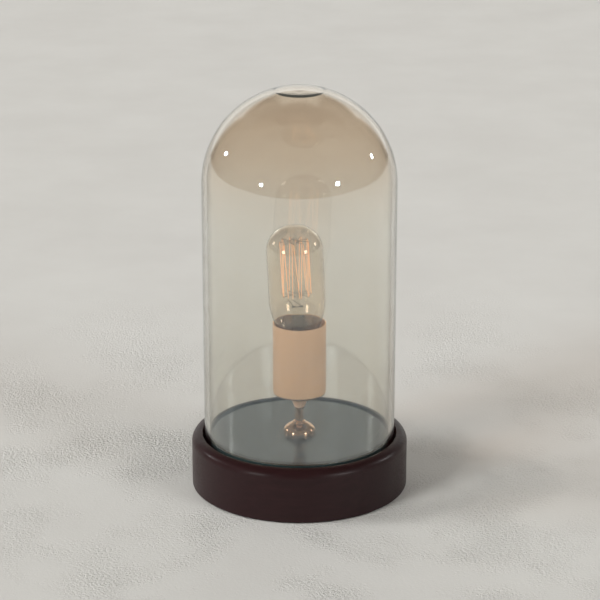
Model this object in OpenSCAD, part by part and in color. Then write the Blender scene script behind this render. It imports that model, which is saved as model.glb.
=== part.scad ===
// Cloche lamp: a turned wooden base whose groove holds a lift-off glass bell, with a
// polished stem, a copper cup and a screw-in filament bulb standing under the bell.
// Millimetres. Origin at the centre of the underside, +Z up, cord inlet at the back on +Y.

/* [Glass bell] */
// Outside diameter of the bell
glass_d = 150; // [135:1:175]
// Wall thickness of the bell
glass_wall = 4; // [3:0.5:6]
// Height of the straight wall, from the rim to the dome
glass_straight = 212; // [200:1:260]
// Extra glass left inside the crown by the blowing
crown_extra = 0.6; // [0.5:0.1:3]
// Radius of the flattened inside of the crown
crown_flat_r = 95; // [90:5:200]
// Rounding of the fire-polished rim
rim_round = 1.2; // [0.5:0.1:1.4]

/* [Wooden base] */
// Height of the ring's crest above the table
base_h = 43; // [40:0.5:60]
// Width of the raised ring round the groove
ring_w = 8.5; // [8:0.5:14]
// Rounding of the ring's outer shoulder
ring_shoulder = 7; // [3:0.5:7]
// Rounding of the ring's inner lip
ring_lip = 0.8; // [0.4:0.1:1]
// Depth of the groove below the crest
groove_depth = 9; // [6:0.5:12]
// Gap between the bell and the groove's inner wall
groove_gap_in = 1; // [0.6:0.1:2]
// Gap between the bell and the groove's outer wall
groove_gap_out = 1.5; // [0.6:0.1:3]
// Rounding of the base's bottom edge
bottom_round = 1.5; // [0.5:0.1:3]
// Thickness of the wood above the pocket
plateau_t = 15; // [10:0.5:18]
// Thickness of the wood round the pocket
rim_wall = 29; // [28:0.5:40]
// Width of the ledge that the cover screws to
ledge_w = 6.2; // [6:0.1:7]

/* [Mirror plate] */
// Thickness of the round mirror
plate_t = 3; // [2:0.5:5]
// How far the mirror lies below the ring's crest
plate_drop = 0.7; // [0:0.1:2]

/* [Underside] */
// Thickness of the felt ring
felt_t = 2; // [1.5:0.5:3]
// How far the felt stands proud of the wood
felt_proud = 0.5; // [0.3:0.1:1]
// Width of the felt ring
felt_w = 15; // [8:0.5:16]
// Distance of the felt from the base's outer face
felt_inset = 4; // [2.5:0.5:6]
// Thickness of the cover
cover_t = 3; // [2:0.5:5]
// How far the cover is set in from the wood's underside
cover_inset = 0.5; // [0.3:0.1:1]
// Number of cover screws
cover_screw_n = 3; // [3:1:6]
// Shank diameter of the cover screws
cover_screw_d = 3; // [2.5:0.5:3.5]
// Length of the cover screws
cover_screw_len = 13; // [8:0.5:16]
// Height of the cord inlet above the table
inlet_z = 12; // [11:0.5:15]
// Bore of the cord bushing
inlet_bore_d = 6.4; // [5:0.1:7]
// Diameter of the bushing's barrel
inlet_barrel_d = 8.8; // [8.4:0.1:10]
// Diameter of the bushing's flange
inlet_flange_d = 13; // [12:0.5:15]
// Thickness of the bushing's flange
inlet_flange_t = 1.8; // [1:0.1:2.5]
// Length of the bushing's barrel
inlet_barrel_len = 14; // [8:0.5:18]

/* [Stem and foot] */
// Diameter of the foot bead on the mirror
foot_d = 25.6; // [22:0.2:32]
// Height of the foot bead above the mirror, with its ring
foot_h = 9.8; // [9:0.1:11]
// Height of the foot bead's dome
foot_dome_h = 9.5; // [8:0.1:9.6]
// Height of the upright edge under the dome
foot_edge = 1.2; // [0.3:0.1:1.5]
// Rounding of the foot bead's flank
foot_flank_r = 5.4; // [4:0.1:5.8]
// Rounding of the ring round the stem
foot_ring_r = 0.8; // [0.7:0.1:1.2]
// Outside diameter of the stem tube
stem_d = 7; // [6.5:0.1:8]
// Bore of the stem tube
stem_bore = 5; // [4.6:0.1:5.4]
// Bare length of the stem between foot and collar
stem_bare = 9.4; // [5:0.1:40]
// Height of the collar under the cup
collar_h = 14.2; // [8:0.1:20]
// Diameter of the collar at its lower end
collar_d0 = 8.2; // [8:0.1:10]
// Diameter of the collar at the cup
collar_d1 = 18; // [14:0.5:24]
// Thickness of the locknut under the base
locknut_t = 4; // [3:0.5:5]
// Width of the locknut across its flats
locknut_af = 12; // [11:0.5:14]
// Diameter of the washer under the base
washer_d = 24; // [18:0.5:30]
// Thickness of the washer
washer_t = 1.5; // [1:0.1:2]

/* [Cup and holder] */
// Outside diameter of the cup
cup_d = 42; // [42:0.5:50]
// Height of the cup
cup_h = 58.2; // [56:0.2:64]
// Wall of the cup
cup_wall = 1; // [0.6:0.1:1.1]
// Rounding of the cup's bottom edge
cup_round = 2; // [1:0.1:4]
// Thickness of the nut inside the cup
cup_nut_t = 3; // [2.5:0.1:3.2]
// Width of the nut inside the cup across its flats
cup_nut_af = 11; // [10:0.5:13]
// Thickness of the holder's bracket
bracket_t = 1.2; // [1:0.1:1.5]
// Width of the holder's bracket
bracket_w = 10; // [9:0.5:12]
// Distance between the two holder screws
holder_screw_gap = 30; // [28:0.5:31]
// Diameter of the holder screws
holder_screw_d = 2.6; // [2:0.1:3]
// Outside diameter of the holder's body
holder_d = 37.6; // [36:0.2:38]
// Height of the holder's body above its pillars
holder_h = 28; // [24:0.5:32]
// Thickness of the holder's floor
holder_floor = 3; // [2.5:0.1:4]
// Wall of the threaded shell in the holder
shell_wall = 0.6; // [0.4:0.1:0.8]
// Height of the threaded shell in the holder
shell_h = 20; // [14:0.5:22]

/* [Bulb] */
// Diameter of the bulb's glass
bulb_d = 44.5; // [43:0.5:48]
// Length of the bulb from its contact to its crown
bulb_len = 121; // [116:0.5:140]
// Wall of the bulb's glass
bulb_wall = 0.8; // [0.6:0.1:1]
// Radius of the bulb's neck where it enters the cap
neck_r = 12.2; // [11.5:0.1:12.3]
// Height of the flare from the neck to the full width
flare_h = 37.5; // [34:0.5:44]
// Radius of the hollow lower arc of the flare
flare_low_r = 24; // [18:1:32]
// Radius of the bulb's shoulder
shoulder_r = 20; // [14:0.5:21]
// Radius of the bulb's crown
crown_r = 34; // [30:1:45]
// Lean of the bulb's glass on its cap, towards the left
bulb_lean = 2.7; // [0:0.1:3]
// Outside diameter of the screw cap
cap_d = 26.2; // [26:0.1:26.4]
// Wall of the screw cap
cap_wall = 0.4; // [0.3:0.1:0.5]
// Length of the bulb's cap with its contact
cap_len = 25; // [24:0.5:27]
// Height of the cap's insulator
insulator_h = 4.4; // [4:0.1:5]
// Diameter of the cap's centre contact
tip_d = 10; // [8:0.5:11]
// Height of the cap's centre contact
tip_h = 1.6; // [1:0.1:2]
// Radius of the filament's cage
cage_r = 11.2; // [8:0.1:12]
// Height of the filament's cage
cage_h = 43; // [36:0.5:46]
// Height of the cage's foot above the cap
cage_up = 40.5; // [38:0.5:44]
// Number of hooks that carry the filament at the top
hook_n = 9; // [6:1:10]
// Thickness of the filament
filament_d = 0.5; // [0.3:0.05:0.6]
// Width of the filament's turn round a hook
hook_turn = 1.3; // [1:0.1:2]
// Thickness of the hooks and lead-in wires
hook_d = 0.5; // [0.3:0.05:0.6]
// Direction of the gap in the cage, from the front towards the right
cage_gap_dir = -25; // [-60:5:60]
// Half the angle between the cage's two open ends
cage_gap_half = 10; // [8:1:12]

/* [Wiring] */
// Thickness of an insulated lead
lead_d = 1.9; // [1.4:0.1:2]
// Distance of each lead from the stem's axis
lead_off = 1.1; // [1.1:0.05:1.2]
// Width of the terminal block
block_w = 18; // [16:0.5:22]
// Depth of the terminal block
block_deep = 16; // [14:0.5:20]
// Height of the terminal block
block_h = 10; // [9:0.5:11]
// Distance between the terminal block's poles
pole_gap = 9; // [8:0.5:10]
// Diameter of the terminal block's wire holes
pole_hole_d = 4; // [3.5:0.1:4.5]
// Diameter of the terminal screws
pole_screw_d = 3; // [2.5:0.1:3.2]
// Distance of the terminal block from the stem's axis
block_off = 18; // [17:0.5:24]

/* [Clearances] */
// Gap all round a fixed piece in its hole
fit_gap = 0.1; // [0.05:0.05:0.2]
// Gap under the bell's rim
seat_gap = 0.1; // [0.05:0.05:0.3]
// Gap all round the bulb's cap in the holder
cap_gap = 0.5; // [0.4:0.1:0.6]
// Height of the contact tongue's free space above the holder's floor
contact_space = 2; // [1.6:0.1:2.5]

/* [Hidden] */
$fn = 96;
eps = 0.01;
over = 1;

// Plan of the base, from the bell outwards
glass_r = glass_d / 2;
glass_ri = glass_r - glass_wall;
groove_ri = glass_ri - groove_gap_in;
groove_ro = glass_r + groove_gap_out;
base_r = groove_ro + ring_w;
pocket_r = base_r - rim_wall;
ledge_r = pocket_r + ledge_w;
cover_r = ledge_r - 2 * fit_gap;
felt_ro = base_r - felt_inset;
felt_ri = felt_ro - felt_w;
shoulder_round = min(ring_shoulder, ring_w - ring_lip);

// Heights of the base
wood_z = felt_proud;
groove_z = base_h - groove_depth;
plate_top = base_h - plate_drop;
plateau_z = plate_top - plate_t;
roof_z = plateau_z - plateau_t;
cover_z = wood_z + cover_inset;
cover_top = cover_z + cover_t;
glass_z = groove_z + seat_gap;
crown_z = glass_z + glass_straight;

// Cord inlet, set in so that the flange stays inside the base's round
flange_round_drop = base_r - sqrt(pow(base_r, 2) - pow(inlet_flange_d / 2, 2));
inlet_face_y = base_r - fit_gap;
inlet_seat_y = inlet_face_y - inlet_flange_t;
inlet_end_y = inlet_seat_y - inlet_barrel_len;
inlet_hole_d = inlet_barrel_d + 2 * fit_gap;

// Cover screws
cover_screw_r = pocket_r + ledge_w / 2;
cover_head_d = 1.9 * cover_screw_d;
cover_head_h = 0.45 * cover_screw_d;

// Heights of the stem, the cup and the holder
stem_r = stem_d / 2;
stem_hole_d = stem_d + 2 * fit_gap;
washer_z = roof_z - washer_t;
locknut_z = washer_z - locknut_t;
stem_end = 2;
stem_z = locknut_z - stem_end;
collar_z = plate_top + foot_h + stem_bare;
cup_z = collar_z + collar_h;
cup_floor = cup_z + cup_wall;
cup_ri = cup_d / 2 - cup_wall;
cup_nut_z = cup_floor + bracket_t;
stem_top = cup_nut_z + cup_nut_t + 0.6;
tab_rise = 4.5;
tab_z = cup_floor + tab_rise;
pillar_z = tab_z + bracket_t;
pillar_h = 4.1;
pillar_d = 2.4 * holder_screw_d;
holder_z = pillar_z + pillar_h;
holder_top = holder_z + holder_h;
holder_floor_top = holder_z + holder_floor;
holder_head_d = 1.8 * holder_screw_d;
holder_head_h = 0.75 * holder_screw_d;
holder_screw_y = holder_screw_gap / 2;
shell_ri = cap_d / 2 + cap_gap;
shell_ro = shell_ri + shell_wall;
socket_r = shell_ro + fit_gap;
shell_z = holder_top - 2 - shell_h;

// Heights of the bulb
tip_z = holder_floor_top + contact_space;
insulator_z = tip_z + tip_h;
cap_z = insulator_z + insulator_h;
cap_top = tip_z + cap_len;
cap_ri = cap_d / 2 - cap_wall;
bulb_r = bulb_d / 2;
bulb_top = tip_z + bulb_len;
neck_in = 6;
flare_z = cap_top;
flare_end = flare_z + flare_h;
flare_angle = 2 * atan((bulb_r - neck_r) / flare_h);
flare_high_r = flare_h / sin(flare_angle) - flare_low_r;
flare_mid = flare_z + flare_low_r * sin(flare_angle);
shoulder_x = bulb_r - shoulder_r;
shoulder_z = bulb_top - crown_r + sqrt(pow(crown_r - shoulder_r, 2) - pow(shoulder_x, 2));
crown_sin = shoulder_x / (crown_r - shoulder_r);
lean_z = cap_top - neck_in / 2;

// Bulb's inside
mount_r = neck_r - bulb_wall - 2 * fit_gap;
mount_tube_r = 5;
mount_cone_h = 12;
press_w = 9;
press_t = 4.5;
press_rise = 30.5;
press_top = cap_top + press_rise;
press_wire_x = 3.3;
rod_r = 1.5;
cage_z = cap_top + cage_up;
cage_top = cage_z + cage_h;
button_r = 2.6;
button_h = 3;

// Contact tongue
tongue_w = 6;
tongue_t = 0.5;
tongue_len = 18;

// Leads
lead_r = lead_d / 2;
lead_bend = 3;
lead_bend_top = 1.6;
lead_low_z = cover_top + block_h / 2;
lead_block_in = 1.5;
lead_top_z = stem_top + 0.5;
lead_up_x = 9;
lead_stub = holder_floor - 0.5;

// Corner of side r and a little more, outside the quarter round: what a rounded edge takes away
module round_cut(r) {
    difference() {
        square(r + over);
        circle(r);
    }
}

// Tube along Z
module tube(h, ro, ri) {
    difference() {
        cylinder(h = h, r = ro);
        translate([0, 0, -over])
            cylinder(h = h + 2 * over, r = ri);
    }
}

// Hexagonal nut of a width across its flats, with a round hole
module hex_nut(af, t, hole_d) {
    difference() {
        cylinder(h = t, d = af / cos(30), $fn = 6);
        translate([0, 0, -over])
            cylinder(h = t + 2 * over, d = hole_d);
    }
}

// Round rod between two points
module rod(p, q, r) {
    v = q - p;
    translate(p)
        rotate([0, acos(v[2] / norm(v)), atan2(v[1], v[0])])
            cylinder(h = norm(v), r = r, $fn = 24);
}

// Countersunk screw with its head down at z = 0
module flat_screw(d, head_d, head_h, len) {
    cylinder(h = head_h, d1 = head_d, d2 = d);
    cylinder(h = len, d = d);
}

// Everything in the bulb's glass leans on the cap by the same angle
module leaning() {
    translate([0, 0, lean_z])
        rotate([0, -bulb_lean, 0])
            translate([0, 0, -lean_z])
                children();
}

// Places of the cover screws
module at_cover_screws() {
    for (i = [0:cover_screw_n - 1])
        rotate([0, 0, 30 + i * 360 / cover_screw_n])
            translate([cover_screw_r, 0, cover_z])
                children();
}

// Half section of the base, without its holes
module base_section() {
    difference() {
        translate([0, wood_z])
            square([base_r, base_h - wood_z]);
        translate([-over, plateau_z])
            square([groove_ro + over, base_h]);
        translate([groove_ri, groove_z])
            square([groove_ro - groove_ri, base_h]);
        translate([-over, -over])
            square([pocket_r + over, roof_z + over]);
        translate([-over, -over])
            square([ledge_r + over, cover_top + over]);
        translate([felt_ri - fit_gap, -over])
            square([felt_w + 2 * fit_gap, felt_t + over]);
        translate([base_r - shoulder_round, base_h - shoulder_round])
            round_cut(shoulder_round);
        translate([groove_ro + ring_lip, base_h - ring_lip])
            mirror([1, 0])
                round_cut(ring_lip);
        translate([base_r - bottom_round, wood_z + bottom_round])
            mirror([0, 1])
                round_cut(bottom_round);
    }
}

module wood_base() {
    color("#3a2826")
        difference() {
            rotate_extrude()
                base_section();
            translate([0, 0, roof_z - over])
                cylinder(h = plateau_t + 2 * over, d = stem_hole_d);
            translate([0, pocket_r - over, inlet_z])
                rotate([-90, 0, 0])
                    cylinder(h = ring_w + base_r, d = inlet_hole_d);
            translate([0, inlet_seat_y, inlet_z])
                rotate([-90, 0, 0])
                    cylinder(h = ring_w, d = inlet_flange_d + 2 * fit_gap);
            at_cover_screws()
                cylinder(h = cover_screw_len + over, d = cover_screw_d + 2 * fit_gap);
        }
}

module mirror_plate() {
    color("#7d807a")
        translate([0, 0, plateau_z])
            tube(plate_t, groove_ri, stem_hole_d / 2);
}

module felt_ring() {
    color("#2b2b2b")
        tube(felt_t, felt_ro, felt_ri);
}

module base_cover() {
    color("#8a6a48")
        difference() {
            translate([0, 0, cover_z])
                cylinder(h = cover_t, r = cover_r);
            at_cover_screws()
                translate([0, 0, -eps])
                    flat_screw(cover_screw_d + 2 * fit_gap, cover_head_d + 2 * fit_gap, cover_head_h,
                               cover_t + over);
        }
}

module cover_screws() {
    color("#b8b8b8")
        at_cover_screws()
            flat_screw(cover_screw_d, cover_head_d, cover_head_h, cover_screw_len);
}

module cord_bushing() {
    color("#1d1d1d")
        difference() {
            translate([0, inlet_end_y, inlet_z])
                rotate([-90, 0, 0])
                    union() {
                        cylinder(h = inlet_barrel_len + eps, d = inlet_barrel_d);
                        translate([0, 0, inlet_barrel_len])
                            cylinder(h = inlet_flange_t - flange_round_drop, d = inlet_flange_d);
                    }
            translate([0, inlet_end_y - over, inlet_z])
                rotate([-90, 0, 0])
                    cylinder(h = inlet_barrel_len + inlet_flange_t + 2 * over, d = inlet_bore_d);
        }
}

// Places of the terminal block's two poles
module at_poles() {
    for (side = [-1, 1])
        translate([side * pole_gap / 2, block_off, lead_low_z])
            children();
}

// Places of the terminal block's screws, two over each pole
module at_pole_screws() {
    at_poles()
        for (share = [0.25, 0.75])
            translate([0, share * block_deep, 0])
                children();
}

module terminal_block() {
    color("#e9e6dc")
        difference() {
            translate([-block_w / 2, block_off, cover_top])
                cube([block_w, block_deep, block_h]);
            at_poles()
                translate([0, -over, 0])
                    rotate([-90, 0, 0])
                        cylinder(h = block_deep + 2 * over, d = pole_hole_d);
            at_pole_screws()
                cylinder(h = block_h, d = pole_screw_d + 2 * fit_gap);
        }
}

module terminal_screws() {
    color("#c9a24a")
        at_pole_screws()
            translate([0, 0, lead_r + fit_gap])
                cylinder(h = block_h / 2 - lead_r - 0.8, d = pole_screw_d);
}

// Foot bead: a shallow dome on an upright edge, with a small ring where the stem leaves it
// Half section of the foot bead: an oval dome on a short upright edge
module bead_section() {
    rise = foot_dome_h - foot_edge;
    flank_x = foot_d / 2 - foot_flank_r;
    dome_r = (pow(flank_x, 2) + pow(rise, 2) - pow(foot_flank_r, 2)) / (2 * (rise - foot_flank_r));
    difference() {
        square([foot_d / 2, foot_dome_h]);
        difference() {
            translate([0, foot_edge])
                square([foot_d / 2 + over, rise + over]);
            translate([flank_x, foot_edge])
                circle(foot_flank_r);
            intersection() {
                translate([0, foot_dome_h - dome_r])
                    circle(dome_r);
                square([dome_r * flank_x / (dome_r - foot_flank_r), foot_dome_h + over]);
            }
        }
    }
}

module foot_bead() {
    ring_x = stem_hole_d / 2 + foot_ring_r;
    color("#c98f6c")
        translate([0, 0, plate_top])
            rotate_extrude()
                difference() {
                    union() {
                        bead_section();
                        square([ring_x, foot_h]);
                        translate([ring_x, foot_h - foot_ring_r])
                            circle(foot_ring_r);
                    }
                    translate([-foot_d, -foot_h])
                        square([foot_d + stem_hole_d / 2, 3 * foot_h]);
                }
}

module stem_tube() {
    color("#c98f6c")
        translate([0, 0, stem_z])
            tube(stem_top - stem_z, stem_r, stem_bore / 2);
}

module stem_washer() {
    color("#a9a9a9")
        translate([0, 0, washer_z])
            tube(washer_t, washer_d / 2, stem_hole_d / 2);
}

module stem_locknut() {
    color("#b5a05a")
        translate([0, 0, locknut_z])
            hex_nut(locknut_af, locknut_t, stem_hole_d);
}

module cup_collar() {
    color("#c98f6c")
        translate([0, 0, collar_z])
            difference() {
                cylinder(h = collar_h, d1 = collar_d0, d2 = collar_d1);
                translate([0, 0, -over])
                    cylinder(h = collar_h + 2 * over, d = stem_hole_d);
            }
}

module holder_cup() {
    inner_round = max(cup_round - cup_wall, 0.3);
    color("#c79d7e")
        translate([0, 0, cup_z])
            rotate_extrude()
                difference() {
                    translate([stem_hole_d / 2, 0])
                        square([cup_d / 2 - stem_hole_d / 2, cup_h]);
                    difference() {
                        translate([-over, cup_wall])
                            square([cup_ri + over, cup_h]);
                        translate([cup_ri - inner_round, cup_wall + inner_round])
                            mirror([0, 1])
                                round_cut(inner_round);
                    }
                    translate([cup_d / 2 - cup_round, cup_round])
                        mirror([0, 1])
                            round_cut(cup_round);
                }
}

module cup_nut() {
    color("#b5a05a")
        translate([0, 0, cup_nut_z])
            hex_nut(cup_nut_af, cup_nut_t, stem_hole_d);
}

// Hat-shaped strap: its middle lies on the cup's floor and its raised ends carry the holder
module holder_bracket() {
    tab_in = holder_screw_y - bracket_w / 2 + bracket_t;
    tab_out = holder_screw_y + pillar_d / 2;
    color("#a9a9a9")
        difference() {
            translate([-bracket_w / 2, 0, cup_floor])
                union() {
                    translate([0, -tab_in, 0])
                        cube([bracket_w, 2 * tab_in, bracket_t]);
                    for (side = [-1, 1])
                        translate([0, side * tab_in - (side + 1) / 2 * bracket_t, 0])
                            cube([bracket_w, bracket_t, tab_rise + bracket_t]);
                    translate([0, tab_in - bracket_t, tab_rise])
                        cube([bracket_w, tab_out - tab_in + bracket_t, bracket_t]);
                    translate([0, -tab_out, tab_rise])
                        cube([bracket_w, tab_out - tab_in + bracket_t, bracket_t]);
                }
            translate([0, 0, cup_z])
                cylinder(h = tab_rise, d = stem_hole_d);
            for (side = [-1, 1])
                translate([0, side * holder_screw_y, tab_z - over])
                    cylinder(h = bracket_t + 2 * over, d = holder_screw_d + 2 * fit_gap);
        }
}

module holder_screws() {
    color("#b8b8b8")
        for (side = [-1, 1])
            translate([0, side * holder_screw_y, tab_z - holder_head_h]) {
                cylinder(h = holder_head_h, d = holder_head_d);
                cylinder(h = holder_floor_top - 0.4 - tab_z + holder_head_h, d = holder_screw_d);
            }
}

module holder_body() {
    color("#26221f")
        difference() {
            union() {
                translate([0, 0, holder_z])
                    cylinder(h = holder_h, d = holder_d);
                for (side = [-1, 1])
                    translate([0, side * holder_screw_y, pillar_z])
                        cylinder(h = pillar_h + holder_floor, d = pillar_d);
            }
            translate([0, 0, holder_floor_top])
                cylinder(h = holder_h, r = socket_r);
            for (side = [-1, 1]) {
                translate([0, side * holder_screw_y, pillar_z - over])
                    cylinder(h = holder_floor_top - pillar_z + over - 0.2, d = holder_screw_d + 2 * fit_gap);
                translate([side * lead_up_x, 0, holder_z - over])
                    cylinder(h = holder_floor + 2 * over, d = lead_d + 4 * fit_gap);
            }
        }
}

module holder_shell() {
    color("#c9a24a")
        translate([0, 0, shell_z])
            tube(shell_h, shell_ro, shell_ri);
}

// Spring tongue under the bulb's contact: a foot strip on the floor and a raised button
module holder_contact() {
    rise = contact_space - 2 * fit_gap;
    color("#c9a24a")
        translate([0, 0, holder_floor_top]) {
            translate([-tongue_w / 2, -tongue_len / 2, 0])
                cube([tongue_w, tongue_len, tongue_t]);
            cylinder(h = rise, d = tongue_w - 1);
        }
}

// One insulated lead from a pole of the terminal block, up the stem, to the holder
module lead(side) {
    run_x = side * (pole_gap / 2 - lead_off);
    run_len = norm([run_x, block_off]) + lead_block_in - lead_bend;
    low_z = lead_low_z + lead_bend;
    top_run = lead_up_x - lead_off - 2 * lead_bend_top;
    translate([side * lead_off, 0, low_z]) {
        cylinder(h = lead_top_z - low_z, r = lead_r, $fn = 24);
        rotate([0, 0, atan2(block_off, run_x)]) {
            translate([lead_bend, 0, 0])
                rotate([90, 0, 0])
                    rotate([0, 0, 180])
                        rotate_extrude(angle = 90, $fn = 24)
                            translate([lead_bend, 0])
                                circle(lead_r, $fn = 24);
            translate([lead_bend, 0, -lead_bend])
                rotate([0, 90, 0])
                    cylinder(h = run_len, r = lead_r, $fn = 24);
        }
    }
    translate([side * lead_off, 0, lead_top_z])
        rotate([0, 0, 90 - side * 90]) {
            translate([lead_bend_top, 0, 0])
                rotate([90, 0, 0])
                    rotate([0, 0, 90])
                        rotate_extrude(angle = 90, $fn = 24)
                            translate([lead_bend_top, 0])
                                circle(lead_r, $fn = 24);
            translate([lead_bend_top, 0, lead_bend_top])
                rotate([0, 90, 0])
                    cylinder(h = top_run, r = lead_r, $fn = 24);
            translate([lead_bend_top + top_run, 0, 2 * lead_bend_top])
                rotate([90, 0, 0])
                    rotate([0, 0, -90])
                        rotate_extrude(angle = 90, $fn = 24)
                            translate([lead_bend_top, 0])
                                circle(lead_r, $fn = 24);
            translate([2 * lead_bend_top + top_run, 0, 2 * lead_bend_top])
                cylinder(h = holder_z + lead_stub - lead_top_z - 2 * lead_bend_top, r = lead_r, $fn = 24);
        }
}

module live_lead() {
    color("#6b3b22")
        lead(-1);
}

module neutral_lead() {
    color("#2f5d9a")
        lead(1);
}

// Half section of a round-topped bell
module bell_section(r, straight) {
    intersection() {
        union() {
            square([r, straight]);
            translate([0, straight])
                circle(r);
        }
        square([r + over, straight + r + over]);
    }
}

// Half section of the bell's inside, flattened under the crown
module bell_hollow() {
    difference() {
        union() {
            bell_section(glass_ri, glass_straight);
            translate([0, -over])
                square([glass_ri, 2 * over]);
        }
        difference() {
            translate([-over, glass_straight + glass_ri / 2])
                square([glass_ri / 2 + over, glass_ri]);
            translate([0, glass_straight + glass_ri - crown_extra - crown_flat_r])
                circle(crown_flat_r);
        }
    }
}

module glass_dome() {
    color([0.83, 0.76, 0.62, 0.35])
        translate([0, 0, glass_z])
            rotate_extrude()
                difference() {
                    bell_section(glass_r, glass_straight);
                    bell_hollow();
                    translate([glass_r - rim_round, rim_round])
                        mirror([0, 1])
                            round_cut(rim_round);
                    translate([glass_ri + rim_round, rim_round])
                        mirror([1, 0])
                            mirror([0, 1])
                                round_cut(rim_round);
                }
}

module cap_contact() {
    color("#c9c4b8")
        translate([0, 0, tip_z])
            cylinder(h = tip_h - fit_gap, d = tip_d);
}

// Plain screw cap, open at the top, with a turned-in bottom edge
module bulb_cap() {
    color("#c8bfa6")
        translate([0, 0, cap_z])
            difference() {
                cylinder(h = cap_top - cap_z, d = cap_d);
                translate([0, 0, cap_wall])
                    cylinder(h = cap_top, r = cap_ri);
                translate([0, 0, -over])
                    cylinder(h = 3 * over, d = tip_d);
            }
}

module cap_insulator() {
    color("#15151a")
        translate([0, 0, insulator_z])
            cylinder(h = insulator_h - fit_gap, d1 = tip_d + 2, d2 = cap_d - 2);
}

// What the flare takes from the bulb's straight outline: the neck, a hollow arc and a full arc
module flare_cut(inset) {
    translate([neck_r - inset, flare_z - neck_in - over])
        square([bulb_r, neck_in + over]);
    translate([neck_r + flare_low_r, flare_z])
        circle(flare_low_r + inset);
    difference() {
        translate([0, flare_mid])
            square([bulb_r + over, flare_end - flare_mid]);
        translate([bulb_r - flare_high_r, flare_end])
            circle(flare_high_r - inset);
    }
}

// What the shoulder and the crown take from the bulb's straight outline
module crown_cut(inset) {
    difference() {
        translate([-over, shoulder_z])
            square([bulb_r + 2 * over, bulb_top - shoulder_z + over]);
        translate([shoulder_x, shoulder_z])
            circle(shoulder_r - inset);
        intersection() {
            translate([0, bulb_top - crown_r])
                circle(crown_r - inset);
            translate([-over, 0])
                square([(crown_r - inset) * crown_sin + over, bulb_top + over]);
        }
    }
}

// Half section of the bulb's envelope, drawn in by an inset
module bulb_section(inset) {
    difference() {
        translate([0, flare_z - neck_in])
            square([bulb_r - inset, bulb_top - flare_z + neck_in]);
        flare_cut(inset);
        crown_cut(inset);
    }
}

module bulb_glass() {
    color([0.86, 0.80, 0.70, 0.3])
        leaning()
            rotate_extrude()
                difference() {
                    bulb_section(0);
                    bulb_section(bulb_wall);
                    translate([-over, flare_z - neck_in - over])
                        square([neck_r - bulb_wall + over, 2 * over]);
                }
}

// Glass mount: a flared tube, the flat press that seals the wires, and a rod with two buttons
module bulb_mount() {
    mount_z = flare_z - neck_in + 0.5;
    color([0.90, 0.88, 0.82, 0.5])
        leaning() {
            translate([0, 0, mount_z])
                cylinder(h = mount_cone_h, r1 = mount_r, r2 = mount_tube_r);
            translate([0, 0, mount_z + mount_cone_h - eps])
                cylinder(h = press_top - mount_z - mount_cone_h - 8, r = mount_tube_r);
            translate([-press_w / 2, -press_t / 2, press_top - 12])
                cube([press_w, press_t, 12]);
            translate([0, 0, press_top - over])
                cylinder(h = cage_top - press_top + over, r = rod_r);
            for (z = [cage_z, cage_top])
                translate([0, 0, z - button_h / 2])
                    cylinder(h = button_h, r = button_r);
        }
}

// Point of the cage at an angle from the front, counted towards the right
function cage_point(dir, z) = [cage_r * sin(dir), -cage_r * cos(dir), z];

// The filament's ends at the foot of the cage, and the two sides of its turn at each hook
hook_step = 360 / hook_n;
turn_half = asin(hook_turn / 2 / cage_r);
function hook_top(i, side) =
    cage_point(cage_gap_dir + (i + 0.5) * hook_step + side * turn_half, cage_top);
function hook_low(i, side) =
    cage_point(cage_gap_dir + i * hook_step + side * turn_half, cage_z);
function cage_end(side) = cage_point(cage_gap_dir + side * cage_gap_half, cage_z);

// The filament runs up and down between the hooks, all round the cage
filament_path = [
    cage_end(1),
    for (i = [0:hook_n - 2])
        each [hook_top(i, -1), hook_top(i, 1), hook_low(i + 1, -1), hook_low(i + 1, 1)],
    hook_top(hook_n - 1, -1),
    hook_top(hook_n - 1, 1),
    cage_end(-1)
];

// Direction of the filament's path at a point, halfway between the runs that meet there
function unit(v) = v / norm(v);
function run_dir(i) = unit(filament_path[i + 1] - filament_path[i]);
path_last = len(filament_path) - 1;
function path_dir(i) =
    i == 0 ? run_dir(0) :
    i == path_last ? run_dir(i - 1) :
    unit(run_dir(i - 1) + run_dir(i));

// Ring of the filament's section at a point, mitred so that the runs keep their thickness
wire_sides = 8;
function path_mitre(i) = 1 / (path_dir(i) * run_dir(min(i, path_last - 1)));
function path_ring(i) =
    let (p = filament_path[i])
    let (out = unit([p[0], p[1], 0]))
    let (side = unit(cross(path_dir(i), out)))
    [
        for (k = [0:wire_sides - 1])
            p + filament_d / 2 * (cos(k * 360 / wire_sides) * out
                + sin(k * 360 / wire_sides) * path_mitre(i) * side)
    ];

module filament() {
    rings = [for (i = [0:path_last]) each path_ring(i)];
    first_end = [[for (k = [0:wire_sides - 1]) k]];
    last_end = [[for (k = [wire_sides - 1:-1:0]) path_last * wire_sides + k]];
    walls = [
        for (i = [0:path_last - 1])
            for (k = [0:wire_sides - 1])
                let (a = i * wire_sides + k)
                let (b = i * wire_sides + (k + 1) % wire_sides)
                each [[a, a + wire_sides, b + wire_sides], [a, b + wire_sides, b]]
    ];
    color("#ffb46a")
        leaning()
            polyhedron(points = rings, faces = concat(first_end, walls, last_end));
}

// Wire hooks from the two glass buttons out to the filament's turns
module filament_hooks() {
    reach = (cage_r * cos(turn_half) - filament_d * 0.6 - fit_gap) / cage_r;
    root = (button_r + fit_gap) / cage_r;
    color("#8d8d8d")
        leaning() {
            for (i = [0:hook_n - 1])
                hook(hook_top(i, 0), root, reach);
            for (i = [1:hook_n - 1])
                hook(hook_low(i, 0), root, reach);
        }
}

// One hook along the radius to a point, between two shares of its distance from the axis
module hook(p, root, reach) {
    rod([p[0] * root, p[1] * root, p[2]], [p[0] * reach, p[1] * reach, p[2]], hook_d / 2);
}

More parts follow.
